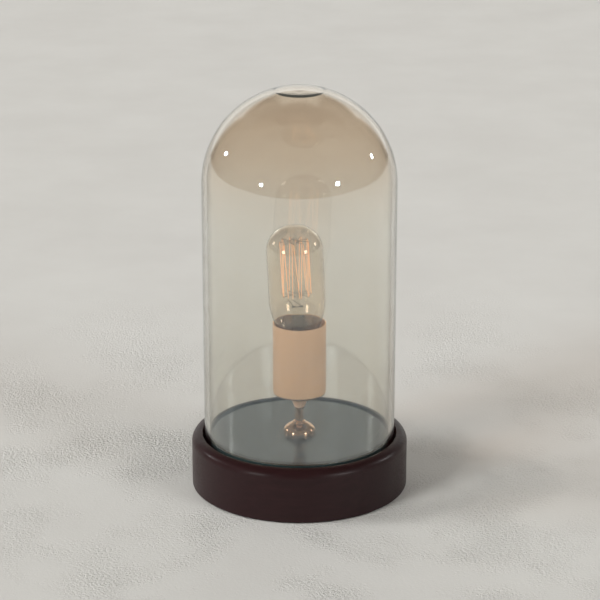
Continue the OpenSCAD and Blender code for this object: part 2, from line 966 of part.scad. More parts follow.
module lead_in_wires() {
    color("#6f6a63")
        leaning()
            for (side = [-1, 1])
                rod([side * press_wire_x, 0, press_top + hook_d], cage_end(side) - [0, 0, filament_d + hook_d],
                    hook_d / 2);
}

wood_base();
mirror_plate();
felt_ring();
base_cover();
cover_screws();
cord_bushing();
terminal_block();
terminal_screws();
foot_bead();
stem_tube();
stem_washer();
stem_locknut();
cup_collar();
holder_cup();
cup_nut();
holder_bracket();
holder_screws();
holder_body();
holder_shell();
holder_contact();
live_lead();
neutral_lead();
glass_dome();
cap_contact();
bulb_cap();
cap_insulator();
bulb_glass();
bulb_mount();
filament();
filament_hooks();
lead_in_wires();
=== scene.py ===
import math

import bmesh
import bpy
from mathutils import Matrix, Vector


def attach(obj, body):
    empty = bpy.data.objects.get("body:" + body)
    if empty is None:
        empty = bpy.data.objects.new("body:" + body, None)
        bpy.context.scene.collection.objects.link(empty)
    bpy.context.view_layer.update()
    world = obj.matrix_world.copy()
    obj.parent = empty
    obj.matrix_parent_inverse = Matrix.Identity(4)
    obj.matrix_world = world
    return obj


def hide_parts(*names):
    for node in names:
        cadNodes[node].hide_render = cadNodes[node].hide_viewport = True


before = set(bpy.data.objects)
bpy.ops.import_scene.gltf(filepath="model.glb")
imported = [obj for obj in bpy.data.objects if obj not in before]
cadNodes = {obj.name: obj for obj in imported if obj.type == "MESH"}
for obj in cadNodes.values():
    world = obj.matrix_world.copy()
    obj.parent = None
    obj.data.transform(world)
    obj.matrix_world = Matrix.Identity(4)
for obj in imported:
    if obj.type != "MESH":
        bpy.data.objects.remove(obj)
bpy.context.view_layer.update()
mm = 0.001
print("frame loaded:", len(cadNodes), "nodes")

# small helpers for shader trees

def addNode(tree, kind, inputs=None, **settings):
    node = tree.nodes.new(kind)
    for key, value in settings.items():
        setattr(node, key, value)
    for key, value in (inputs or {}).items():
        node.inputs[key].default_value = value
    return node


def wire(tree, source, outName, target, inName):
    tree.links.new(source.outputs[outName], target.inputs[inName])


def startMaterial(name):
    mat = bpy.data.materials.new(name)
    mat.use_nodes = True
    tree = mat.node_tree
    tree.nodes.clear()
    out = addNode(tree, "ShaderNodeOutputMaterial")
    skin = addNode(tree, "ShaderNodeBsdfPrincipled")
    wire(tree, skin, "BSDF", out, "Surface")
    return mat, tree, skin, out


def setSkin(skin, values):
    for key, value in values.items():
        skin.inputs[key].default_value = value


def objectPoint(tree, stretch=(1, 1, 1)):
    place = addNode(tree, "ShaderNodeTexCoord")
    mapping = addNode(tree, "ShaderNodeMapping", {"Scale": stretch})
    wire(tree, place, "Object", mapping, "Vector")
    return mapping


def noise(tree, point, scale, detail=3.0, roughness=0.5, distortion=0.0):
    tex = addNode(tree, "ShaderNodeTexNoise",
                  {"Scale": scale, "Detail": detail, "Roughness": roughness, "Distortion": distortion})
    wire(tree, point, "Vector", tex, "Vector")
    return tex


def ramp(tree, source, outName, stops):
    node = addNode(tree, "ShaderNodeValToRGB")
    band = node.color_ramp
    while len(band.elements) < len(stops):
        band.elements.new(0.5)
    for element, (place, colour) in zip(band.elements, stops):
        element.position = place
        element.color = (*colour, 1)
    wire(tree, source, outName, node, "Fac")
    return node


def mapRange(tree, source, outName, fromLow, fromHigh, toLow, toHigh):
    node = addNode(tree, "ShaderNodeMapRange", {"From Min": fromLow, "From Max": fromHigh,
                                                "To Min": toLow, "To Max": toHigh})
    wire(tree, source, outName, node, "Value")
    return node


def bump(tree, source, outName, skin, strength, distance):
    node = addNode(tree, "ShaderNodeBump", {"Strength": strength, "Distance": distance})
    wire(tree, source, outName, node, "Height")
    wire(tree, node, "Normal", skin, "Normal")
    return node


def dress(mat, *names):
    for name in names:
        cadNodes[name].material_slots[0].material = mat


# one look for the plain hidden pieces: two tones, a little wear in the gloss and a fine skin
gritPerCloud = 6


def mottled(name, look):
    mat, tree, skin, out = startMaterial(name)
    point = objectPoint(tree, look.get("stretch", (1, 1, 1)))
    cloud = noise(tree, point, look["scale"], 5.0, 0.6)
    tone = ramp(tree, cloud, "Fac", [(0.3, look["dark"]), (0.7, look["light"])])
    wire(tree, tone, "Color", skin, "Base Color")
    gloss = mapRange(tree, cloud, "Fac", 0.3, 0.7, *look["rough"])
    wire(tree, gloss, "Result", skin, "Roughness")
    grit = noise(tree, point, look["scale"] * gritPerCloud, 3.0, 0.6)
    bump(tree, grit, "Fac", skin, look.get("bump", 0.15), look.get("depth", 0.0002))
    skin.inputs["Metallic"].default_value = look.get("metal", 0.0)
    setSkin(skin, look.get("more", {}))
    return mat


# turned wooden base: dark stain, long grain across the block, satin lacquer
woodLook = {
    "tones": [(0.25, (0.0140, 0.0045, 0.0051)), (0.55, (0.0183, 0.0062, 0.0070)), (0.85, (0.0235, 0.0087, 0.0092))],
    "grainStretch": (7, 70, 70), "grainScale": 3.2, "grainWarp": 0.6,
    "poreStretch": (30, 900, 900), "poreStrength": 0.35, "poreDepth": 0.00006, "rough": (0.34, 0.46),
    "lacquer": {"Specular IOR Level": 0.24, "Coat Weight": 0.05, "Coat Roughness": 0.25},
}


def makeWood(look):
    mat, tree, skin, out = startMaterial("espressoWood")
    grain = noise(tree, objectPoint(tree, look["grainStretch"]), look["grainScale"], 6.0, 0.62, look["grainWarp"])
    tone = ramp(tree, grain, "Fac", look["tones"])
    wire(tree, tone, "Color", skin, "Base Color")
    pores = noise(tree, objectPoint(tree, look["poreStretch"]), 1.0, 2.0, 0.5)
    gloss = mapRange(tree, pores, "Fac", 0.35, 0.65, *look["rough"])
    wire(tree, gloss, "Result", skin, "Roughness")
    bump(tree, pores, "Fac", skin, look["poreStrength"], look["poreDepth"])
    setSkin(skin, look["lacquer"])
    return mat


# grey mirror glass: silvered face, bare polished edge with the green of thick glass
mirrorLook = {"face": (0.080, 0.088, 0.096), "edge": (0.05, 0.085, 0.10), "edgeStart": 69.5, "edgeFull": 69.85,
              "rough": (0.12, 0.16), "metal": 0.55, "edgeMetal": 0.15, "smearStretch": (14, 5, 5), "smearScale": 3.0}


def makeMirror(look):
    mat, tree, skin, out = startMaterial("mirrorGrey")
    place = addNode(tree, "ShaderNodeTexCoord")
    flat = addNode(tree, "ShaderNodeVectorMath", operation="MULTIPLY")
    flat.inputs[1].default_value = (1, 1, 0)
    wire(tree, place, "Object", flat, 0)
    reach = addNode(tree, "ShaderNodeVectorMath", operation="LENGTH")
    wire(tree, flat, "Vector", reach, 0)
    edge = mapRange(tree, reach, "Value", look["edgeStart"] * mm, look["edgeFull"] * mm, 0.0, 1.0)
    tone = addNode(tree, "ShaderNodeMix", data_type="RGBA")
    tone.inputs[6].default_value = (*look["face"], 1)
    tone.inputs[7].default_value = (*look["edge"], 1)
    wire(tree, edge, "Result", tone, 0)
    wire(tree, tone, 2, skin, "Base Color")
    metal = mapRange(tree, edge, "Result", 0.0, 1.0, look["metal"], look["edgeMetal"])
    wire(tree, metal, "Result", skin, "Metallic")
    smear = noise(tree, objectPoint(tree, look["smearStretch"]), look["smearScale"], 4.0, 0.55)
    gloss = mapRange(tree, smear, "Fac", 0.3, 0.7, *look["rough"])
    wire(tree, gloss, "Result", skin, "Roughness")
    return mat


# clear glasses: amber lustre for the cloche, its tint graded by height from foot to crown with painted shade low down
# and a painted dark edge, paler for the bulb, plain for its mount
glassLooks = {
    "lustreGlass": {"tint": (0.945, 0.915, 0.855), "ior": 1.5, "sheen": (1.95, 2.35, 2.65),
                    "shade": (0.875, 0.830, 0.798), "wave": (9.0, 0.02, 0.0006),
                    # height grade of the tint: darker and greyer toward the foot as painted shade for the dark
                    # reflections low on the walls, browner at the crown
                    "paintedShadeGrade": [(0.0, (0.862, 0.854, 0.798)), (0.62, (0.955, 0.946, 0.905)),
                              (0.86, (0.930, 0.850, 0.750))],
                    # the dark tint at grazing view is painted shade for the dark edge lines along the cloche's
                    # outline
                    "paintedShadeSpan": (0.04, 0.32), "rim": (0.22, 0.22, 0.17), "rimSpan": (0.69, 0.90)},
    "bulbGlass": {"tint": (0.978, 0.928, 0.852), "ior": 1.5, "sheen": (2.2, 2.1, 1.9),
                  "shade": (0.93, 0.90, 0.84), "wave": (40.0, 0.02, 0.0002)},
    "mountGlass": {"tint": (0.92, 0.92, 0.88), "ior": 1.5, "sheen": (1, 1, 1),
                   "shade": (0.88, 0.88, 0.86), "wave": (90.0, 0.12, 0.0004)},
}


def makeGlass(name, look):
    mat, tree, skin, out = startMaterial(name)
    setSkin(skin, {"Base Color": (*look["tint"], 1), "Transmission Weight": 1.0, "Roughness": 0.0,
                   "IOR": look["ior"], "Specular Tint": (*look["sheen"], 1)})
    if "paintedShadeGrade" in look:
        # painted shade: the glass tint is darkened toward the foot by height
        parts = addNode(tree, "ShaderNodeSeparateXYZ")
        wire(tree, objectPoint(tree), "Vector", parts, "Vector")
        tall = mapRange(tree, parts, "Z", *look["paintedShadeSpan"], 0.0, 1.0)
        paintedShadeGrade = ramp(tree, tall, "Result", look["paintedShadeGrade"])
        # painted shade: the tint turns dark olive where the surface turns away from view, drawing the glass's dark
        # edge lines
        edgeShadeMask = mapRange(tree, addNode(tree, "ShaderNodeLayerWeight"), "Facing", *look["rimSpan"], 0.0, 1.0)
        tone = addNode(tree, "ShaderNodeMix", data_type="RGBA")
        tone.inputs[7].default_value = (*look["rim"], 1)
        wire(tree, edgeShadeMask, "Result", tone, 0)
        wire(tree, paintedShadeGrade, "Color", tone, 6)
        wire(tree, tone, 2, skin, "Base Color")
    scale, strength, depth = look["wave"]
    ripple = noise(tree, objectPoint(tree, (1, 1, 0.5)), scale, 2.0, 0.4)
    bump(tree, ripple, "Fac", skin, strength, depth)
    rays = addNode(tree, "ShaderNodeLightPath")  # lamps reach what stands under the glass
    clear = addNode(tree, "ShaderNodeBsdfTransparent", {"Color": (*look["shade"], 1)})
    pick = addNode(tree, "ShaderNodeMixShader")
    wire(tree, rays, "Is Shadow Ray", pick, 0)
    wire(tree, skin, 0, pick, 1)
    wire(tree, clear, 0, pick, 2)
    wire(tree, pick, "Shader", out, "Surface")
    return mat


# copper: the cup and its collar are turned and satin, the bead and the stem are polished; the collar is given a
# paler, nearly matte copper, painted light for the brightness its satin copper shows
copperLooks = {
    "satinCopper": {"dark": (0.930, 0.645, 0.438), "light": (0.955, 0.665, 0.452), "rough": (0.16, 0.20),
                    "lines": (4, 4, 1200), "metal": 0.80},
    # a paler, nearly matte copy of the satin copper for the collar: painted light
    "paintedLightCopper": {"dark": (0.86, 0.61, 0.43), "light": (0.90, 0.64, 0.46), "rough": (0.25, 0.28),
                   "lines": (4, 4, 1200), "metal": 0.15},
    "polishedCopper": {"dark": (0.84, 0.60, 0.43), "light": (0.90, 0.66, 0.48), "rough": (0.04, 0.07),
                       "lines": (6, 6, 1500), "bump": 0.004, "depth": 0.00001, "metal": 0.92},
}
copperCloud = 60.0


def makeCopper(name, look):
    mat, tree, skin, out = startMaterial(name)
    cloud = noise(tree, objectPoint(tree), copperCloud, 4.0, 0.6)
    tone = ramp(tree, cloud, "Fac", [(0.35, look["dark"]), (0.65, look["light"])])
    wire(tree, tone, "Color", skin, "Base Color")
    lathe = noise(tree, objectPoint(tree, look["lines"]), 1.0, 3.0, 0.7)  # lathe lines run round the axis
    gloss = mapRange(tree, lathe, "Fac", 0.3, 0.7, *look["rough"])
    wire(tree, gloss, "Result", skin, "Roughness")
    if "bump" in look:
        bump(tree, lathe, "Fac", skin, look["bump"], look["depth"])
    skin.inputs["Metallic"].default_value = look["metal"]
    return mat


plainLooks = {
    "feltBlack": {"dark": (0.012, 0.012, 0.013), "light": (0.035, 0.035, 0.037), "scale": 900, "rough": (0.9, 1.0),
                  "bump": 0.8, "depth": 0.0004, "more": {"Sheen Weight": 0.4, "Sheen Roughness": 0.5}},
    "hardboard": {"dark": (0.16, 0.095, 0.055), "light": (0.27, 0.17, 0.10), "scale": 260, "rough": (0.7, 0.85),
                  "bump": 0.4, "depth": 0.0003, "stretch": (1, 1.6, 1)},
    "zincSteel": {"dark": (0.46, 0.47, 0.48), "light": (0.62, 0.62, 0.60), "scale": 180, "rough": (0.25, 0.45),
                  "metal": 1.0, "bump": 0.05},
    "blackPlastic": {"dark": (0.012, 0.012, 0.012), "light": (0.022, 0.022, 0.022), "scale": 500,
                     "rough": (0.45, 0.6), "bump": 0.2, "depth": 0.0001},
    "whitePlastic": {"dark": (0.70, 0.68, 0.62), "light": (0.78, 0.76, 0.70), "scale": 300, "rough": (0.4, 0.5),
                     "bump": 0.1, "depth": 0.0001},
    "brass": {"dark": (0.50, 0.34, 0.13), "light": (0.62, 0.44, 0.19), "scale": 220, "rough": (0.22, 0.38),
              "metal": 1.0, "bump": 0.05},
    # brown phenolic lightened beyond its own dark tone: painted light for the reflections that brighten the inside of
    # the cup
    "phenolic": {"dark": (0.240, 0.150, 0.100), "light": (0.320, 0.205, 0.140), "scale": 160, "rough": (0.35, 0.5),
                 "bump": 0.08, "depth": 0.0001},
    "brownLead": {"dark": (0.11, 0.038, 0.016), "light": (0.15, 0.055, 0.024), "scale": 200, "rough": (0.4, 0.5),
                  "bump": 0.1, "depth": 0.0001},
    "blueLead": {"dark": (0.02, 0.085, 0.28), "light": (0.035, 0.12, 0.36), "scale": 200, "rough": (0.4, 0.5),
                 "bump": 0.1, "depth": 0.0001},
    "solder": {"dark": (0.44, 0.43, 0.41), "light": (0.60, 0.59, 0.56), "scale": 300, "rough": (0.35, 0.55),
               "metal": 1.0, "bump": 0.2, "depth": 0.0002},
    "capMetal": {"dark": (0.62, 0.56, 0.43), "light": (0.74, 0.69, 0.57), "scale": 150, "rough": (0.2, 0.32),
                 "metal": 1.0, "bump": 0.05},
    "blackGlass": {"dark": (0.004, 0.004, 0.006), "light": (0.008, 0.008, 0.010), "scale": 200, "rough": (0.06, 0.14),
                   "bump": 0.05},
    "nickelWire": {"dark": (0.10, 0.09, 0.08), "light": (0.20, 0.18, 0.16), "scale": 400, "rough": (0.3, 0.45),
                   "metal": 1.0, "bump": 0.05},
}
looks = {name: mottled(name, look) for name, look in plainLooks.items()}
looks["espressoWood"] = makeWood(woodLook)
looks["mirrorGrey"] = makeMirror(mirrorLook)
looks.update({name: makeGlass(name, look) for name, look in glassLooks.items()})
looks.update({name: makeCopper(name, look) for name, look in copperLooks.items()})

# glowing filament: dim orange, a little hotter in patches
glowLook = {"cool": (1.0, 0.51, 0.26), "hot": (1.0, 0.61, 0.35), "patch": 70.0,
            "wire": {"Base Color": (0.05, 0.035, 0.03, 1), "Roughness": 0.6, "Emission Strength": 0.97}}


def makeGlow(look):
    mat, tree, skin, out = startMaterial("filamentGlow")
    heat = noise(tree, objectPoint(tree), look["patch"], 2.0, 0.5)
    tone = ramp(tree, heat, "Fac", [(0.3, look["cool"]), (0.7, look["hot"])])
    wire(tree, tone, "Color", skin, "Emission Color")
    setSkin(skin, look["wire"])
    return mat


looks["filamentGlow"] = makeGlow(glowLook)
print("materials made:", len(looks))

dress(looks["espressoWood"], "wood_base")
dress(looks["mirrorGrey"], "mirror_plate")
dress(looks["feltBlack"], "felt_ring")
dress(looks["hardboard"], "base_cover")
dress(looks["zincSteel"], "cover_screws", "stem_washer", "holder_bracket", "holder_screws")
dress(looks["blackPlastic"], "cord_bushing")
dress(looks["whitePlastic"], "terminal_block")
dress(looks["brass"], "terminal_screws", "stem_locknut", "cup_nut", "holder_shell", "holder_contact")
dress(looks["polishedCopper"], "foot_bead", "stem_tube")
dress(looks["satinCopper"], "holder_cup")
dress(looks["paintedLightCopper"], "cup_collar")
dress(looks["phenolic"], "holder_body")
dress(looks["brownLead"], "live_lead")
dress(looks["blueLead"], "neutral_lead")
dress(looks["lustreGlass"], "glass_dome")
dress(looks["solder"], "cap_contact")
dress(looks["capMetal"], "bulb_cap")
dress(looks["blackGlass"], "cap_insulator")
dress(looks["bulbGlass"], "bulb_glass")
dress(looks["mountGlass"], "bulb_mount")
dress(looks["filamentGlow"], "filament")
dress(looks["nickelWire"], "filament_hooks", "lead_in_wires")
print("nodes dressed")

# meshes: a turned form from a closed half section that may change round the axis, and a finished piece

def turned(name, sectionAt, steps):
    rings = [sectionAt(2 * math.pi * k / steps) for k in range(steps)]
    count = len(rings[0])
    verts, faces = [], []
    for k, ring in enumerate(rings):
        angle = 2 * math.pi * k / steps
        verts += [(r * mm * math.cos(angle), r * mm * math.sin(angle), z * mm) for r, z in ring]
        after = (k + 1) % steps
        for i in range(count):
            j = (i + 1) % count
            faces.append((k * count + i, after * count + i, after * count + j, k * count + j))
    mesh = bpy.data.meshes.new(name)
    mesh.from_pydata(verts, [], faces)
    shape = bmesh.new()
    shape.from_mesh(mesh)
    bmesh.ops.remove_doubles(shape, verts=shape.verts, dist=1e-7)
    bmesh.ops.recalc_face_normals(shape, faces=shape.faces)
    shape.to_mesh(mesh)
    shape.free()
    mesh.polygons.foreach_set("use_smooth", [True] * len(mesh.polygons))
    mesh.set_sharp_from_angle(angle=math.radians(40))
    return mesh


def finishPiece(name, mesh, body, slot, mat, *nodes):
    piece = bpy.data.objects.new(name, mesh)
    bpy.context.scene.collection.objects.link(piece)
    if not mesh.materials:
        mesh.materials.append(mat)
    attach(piece, body)
    if nodes:
        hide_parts(*nodes)
    print("piece made:", name, len(mesh.polygons), "faces")
    return piece


def startTree(name, sizes):
    tree = bpy.data.node_groups.new(name, "GeometryNodeTree")
    face = tree.interface
    face.new_socket(name="Geometry", in_out="INPUT", socket_type="NodeSocketGeometry")
    keys = {}
    for label, kind in sizes.items():
        keys[label] = face.new_socket(name=label, in_out="INPUT", socket_type=kind).identifier
    face.new_socket(name="Geometry", in_out="OUTPUT", socket_type="NodeSocketGeometry")
    source = addNode(tree, "NodeGroupInput")
    last = addNode(tree, "NodeGroupOutput")
    return tree, source, last, keys


def endTree(tree, source, made, outName, last):
    solid = addNode(tree, "GeometryNodeRealizeInstances")
    smooth = addNode(tree, "GeometryNodeSetShadeSmooth")
    paint = addNode(tree, "GeometryNodeSetMaterial")
    wire(tree, made, outName, solid, "Geometry")
    wire(tree, solid, "Geometry", smooth, "Geometry")
    wire(tree, smooth, "Geometry", paint, "Geometry")
    wire(tree, source, "Finish", paint, "Material")
    wire(tree, paint, "Geometry", last, "Geometry")


def growMesh(name, seedMesh, tree, keys, values):
    seed = bpy.data.objects.new(name + "Seed", seedMesh)
    bpy.context.scene.collection.objects.link(seed)
    grow = seed.modifiers.new("grow", "NODES")
    grow.node_group = tree
    for label, value in values.items():
        grow[keys[label]] = value
    bpy.context.view_layer.update()
    grown = bpy.data.meshes.new_from_object(seed.evaluated_get(bpy.context.evaluated_depsgraph_get()))
    grown.name = name
    seed.modifiers.clear()
    bpy.data.objects.remove(seed)
    return grown


# screw cap and threaded shell share one helix, so that they stay clear of each other as the bulb turns
threadLook = {"pitch": 3.629, "low": 12.40, "high": 13.08, "flank": (0.08, 0.92), "rows": 84, "columns": 72,
              "capFrom": 97.5, "capTo": 116.5, "capWall": 0.30, "capHole": 5.0,
              "capStart": (97.5, 99.4), "capSkirt": (108.6, 110.2),
              "shellFrom": 92.5, "shellTo": 112.5, "shellGap": 0.46, "shellWall": 0.35,
              "shellStart": (93.2, 95.2), "shellMouth": (106.4, 108.4)}


def eased(value, start, end):
    x = min(1.0, max(0.0, (value - start) / (end - start)))
    return x * x * (3 - 2 * x)


def levels(low, high, rows):
    return [low + (high - low) * i / rows for i in range(rows + 1)]


def threadWave(look, angle, z):
    wave = 0.5 + 0.5 * math.cos(2 * math.pi * (z / look["pitch"]) - angle)
    return eased(wave, *look["flank"])


def capSection(look):
    def at(angle):
        outer = []
        for z in levels(look["capFrom"], look["capTo"], look["rows"]):
            ridge = threadWave(look, angle, z) * eased(z, *look["capStart"])
            plain = eased(z, *look["capSkirt"])
            outer.append((look["low"] + (look["high"] - look["low"]) * (ridge * (1 - plain) + plain), z))
        inner = [(r - look["capWall"], max(z, look["capFrom"] + look["capWall"])) for r, z in reversed(outer)]
        foot = look["capFrom"]
        return outer + inner + [(look["capHole"], foot + look["capWall"]), (look["capHole"], foot)]
    return at


def shellSection(look):
    def at(angle):
        inner = []
        for z in levels(look["shellFrom"], look["shellTo"], look["rows"]):
            plain = max(1 - eased(z, *look["shellStart"]), eased(z, *look["shellMouth"]))
            ridge = threadWave(look, angle, z)
            low = look["low"] + look["shellGap"]
            inner.append((low + (look["high"] - look["low"]) * (ridge * (1 - plain) + plain), z))
        return inner + [(r + look["shellWall"], z) for r, z in reversed(inner)]
    return at


capMesh = turned("threadedCap", capSection(threadLook), threadLook["columns"])
finishPiece("threadedCap", capMesh, "bulb", "cap_metal", looks["capMetal"], "bulb_cap")
shellMesh = turned("threadedShell", shellSection(threadLook), threadLook["columns"])
finishPiece("threadedShell", shellMesh, "base", "brass", looks["brass"], "holder_shell")

# filament: one wire up and down round the cage, as the hooks carry it
filamentLook = {"cage": 11.2, "low": 157.0, "high": 200.0, "hooks": 9, "gapDir": -25.0, "gapHalf": 10.0, "turn": 1.3,
                "wire": 0.30, "bend": 0.5, "bendPoints": 4, "sides": 10, "lean": 2.7, "leanHeight": 113.5,
                "eye": 0.62, "eyeSteps": 14, "eyeWire": 0.17, "eyeSides": 7}


def cagePoint(look, direction, z):
    a = math.radians(direction)
    return Vector((look["cage"] * math.sin(a), -look["cage"] * math.cos(a), z))


def leaning(look, point):
    pivot = Vector((0, 0, look["leanHeight"]))
    return (Matrix.Rotation(math.radians(-look["lean"]), 3, "Y") @ (point - pivot) + pivot) * mm


def filamentPath(look):
    step = 360.0 / look["hooks"]
    half = math.degrees(math.asin(look["turn"] / 2 / look["cage"]))
    start = look["gapDir"]

    def top(i, side):
        return cagePoint(look, start + (i + 0.5) * step + side * half, look["high"])

    def foot(i, side):
        return cagePoint(look, start + i * step + side * half, look["low"])

    path = [cagePoint(look, start + look["gapHalf"], look["low"])]
    for i in range(look["hooks"] - 1):
        path += [top(i, -1), top(i, 1), foot(i + 1, -1), foot(i + 1, 1)]
    last = look["hooks"] - 1
    path += [top(last, -1), top(last, 1), cagePoint(look, start - look["gapHalf"], look["low"])]
    eyes = [(top(i, 0), start + (i + 0.5) * step) for i in range(look["hooks"])]
    eyes += [(foot(i, 0), start + i * step) for i in range(1, look["hooks"])]
    return path, eyes


def makeFilament(look):
    path, eyes = filamentPath(look)
    seed = bpy.data.meshes.new("filamentSeed")
    seed.from_pydata([leaning(look, p) for p in path], [(i, i + 1) for i in range(len(path) - 1)], [])
    tree, source, last, keys = startTree("filamentRun", {
        "Wire Radius": "NodeSocketFloat", "Bend Radius": "NodeSocketFloat",
        "Sides": "NodeSocketInt", "Finish": "NodeSocketMaterial"})
    run = addNode(tree, "GeometryNodeMeshToCurve")
    bend = addNode(tree, "GeometryNodeFilletCurve", {"Count": look["bendPoints"]}, mode="POLY")
    ring = addNode(tree, "GeometryNodeCurvePrimitiveCircle")
    sweep = addNode(tree, "GeometryNodeCurveToMesh", {"Fill Caps": True})
    wire(tree, source, "Geometry", run, "Mesh")
    wire(tree, run, "Curve", bend, "Curve")
    wire(tree, source, "Bend Radius", bend, "Radius")
    wire(tree, source, "Wire Radius", ring, "Radius")
    wire(tree, source, "Sides", ring, "Resolution")
    wire(tree, bend, "Curve", sweep, "Curve")
    wire(tree, ring, "Curve", sweep, "Profile Curve")
    endTree(tree, source, sweep, "Mesh", last)
    mesh = growMesh("filamentWire", seed, tree, keys, {
        "Wire Radius": look["wire"] * mm, "Bend Radius": look["bend"] * mm,
        "Sides": look["sides"], "Finish": looks["filamentGlow"]})
    finishPiece("filamentWire", mesh, "bulb", "filament", looks["filamentGlow"], "filament")
    makeHookEyes(look, eyes)


def makeHookEyes(look, eyes):
    seed = bpy.data.meshes.new("hookEyesSeed")
    seed.from_pydata([leaning(look, p) for p, direction in eyes], [], [])
    turn = seed.attributes.new("turn", "FLOAT_VECTOR", "POINT")
    for item, (p, direction) in zip(turn.data, eyes):
        item.vector = (math.pi / 2, 0, math.radians(90 + direction))
    tree, source, last, keys = startTree("hookEyes", {
        "Eye Radius": "NodeSocketFloat", "Wire Radius": "NodeSocketFloat", "Finish": "NodeSocketMaterial"})
    eye = addNode(tree, "GeometryNodeCurvePrimitiveCircle", {"Resolution": look["eyeSteps"]})
    ring = addNode(tree, "GeometryNodeCurvePrimitiveCircle", {"Resolution": look["eyeSides"]})
    sweep = addNode(tree, "GeometryNodeCurveToMesh")
    way = addNode(tree, "GeometryNodeInputNamedAttribute", {"Name": "turn"}, data_type="FLOAT_VECTOR")
    spin = addNode(tree, "FunctionNodeEulerToRotation")
    place = addNode(tree, "GeometryNodeInstanceOnPoints")
    wire(tree, source, "Eye Radius", eye, "Radius")
    wire(tree, source, "Wire Radius", ring, "Radius")
    wire(tree, eye, "Curve", sweep, "Curve")
    wire(tree, ring, "Curve", sweep, "Profile Curve")
    wire(tree, source, "Geometry", place, "Points")
    wire(tree, sweep, "Mesh", place, "Instance")
    wire(tree, way, "Attribute", spin, "Euler")
    wire(tree, spin, "Rotation", place, "Rotation")
    endTree(tree, source, place, "Instances", last)
    mesh = growMesh("hookEyes", seed, tree, keys, {
        "Eye Radius": look["eye"] * mm, "Wire Radius": look["eyeWire"] * mm, "Finish": looks["nickelWire"]})
    finishPiece("hookEyes", mesh, "bulb", "nickel_wire", looks["nickelWire"])


makeFilament(filamentLook)

# screws with a cross recess, set on points; each blank stands on its head at the origin

def circlePoints(radius, angles, z):
    return [(radius * math.cos(math.radians(a)), radius * math.sin(math.radians(a)), z) for a in angles]


screwLooks = {
    "coverScrews": {"node": "cover_screws", "points": circlePoints(59.1, (30, 150, 270), 1.0),
                    "head": 2.85, "headHeight": 1.35, "shank": 1.5, "length": 13.0, "pitch": 1.3,
                    "slot": 0.5, "deep": 0.8, "tip": True},
    "holderScrews": {"node": "holder_screws", "points": [(0, -15.0, 79.25), (0, 15.0, 79.25)],
                     "head": 2.35, "headHeight": 1.95, "shank": 1.3, "length": 9.8, "pitch": 0.5,
                     "slot": 0.45, "deep": 1.0, "tip": False},
}
screwForm = {"edge": 0.35, "chamfer": 0.1, "threadDepth": 0.28, "core": 0.02, "rowsPerTurn": 6, "tipLength": 3.0,
             "recessReach": 1.15, "steps": 36, "turn": 0.7, "sharp": 35}


def screwBlank(look):
    head, height, shank, length = look["head"], look["headHeight"], look["shank"], look["length"]
    edge, chamfer = screwForm["edge"], screwForm["chamfer"]

    def at(angle):
        section = [(0.0, 0.0), (head - edge, 0.0), (head - chamfer, chamfer), (head, edge), (head, height),
                   (shank, height)]
        rows = int((length - height) / look["pitch"] * screwForm["rowsPerTurn"])
        for i in range(1, rows):
            z = height + (length - height) * i / rows
            ridge = 0.5 + 0.5 * math.cos(2 * math.pi * z / look["pitch"] - angle)
            point = 1.0 if not look["tip"] else 1.0 - eased(z, length - screwForm["tipLength"], length)
            section.append(((shank - screwForm["threadDepth"] * (1 - ridge)) * point + screwForm["core"], z))
        return section + [(0.0, length)]

    mesh = turned("screwBlank", at, screwForm["steps"])
    blank = bpy.data.objects.new("screwBlank", mesh)
    bpy.context.scene.collection.objects.link(blank)
    cutters = []
    reach = head * screwForm["recessReach"]
    for wide, deep in ((look["slot"], reach), (reach, look["slot"])):
        shape = bmesh.new()
        bmesh.ops.create_cube(shape, size=1.0)
        bmesh.ops.scale(shape, vec=(wide * mm, deep * mm, 2 * look["deep"] * mm), verts=shape.verts)
        cutMesh = bpy.data.meshes.new("recess")
        shape.to_mesh(cutMesh)
        shape.free()
        cutter = bpy.data.objects.new("recess", cutMesh)
        bpy.context.scene.collection.objects.link(cutter)
        cut = blank.modifiers.new("recess", "BOOLEAN")
        cut.operation, cut.solver, cut.object = "DIFFERENCE", "EXACT", cutter
        cutters.append(cutter)
    bpy.context.view_layer.update()
    cutDone = bpy.data.meshes.new_from_object(blank.evaluated_get(bpy.context.evaluated_depsgraph_get()))
    for thing in cutters + [blank]:
        bpy.data.objects.remove(thing)
    return cutDone


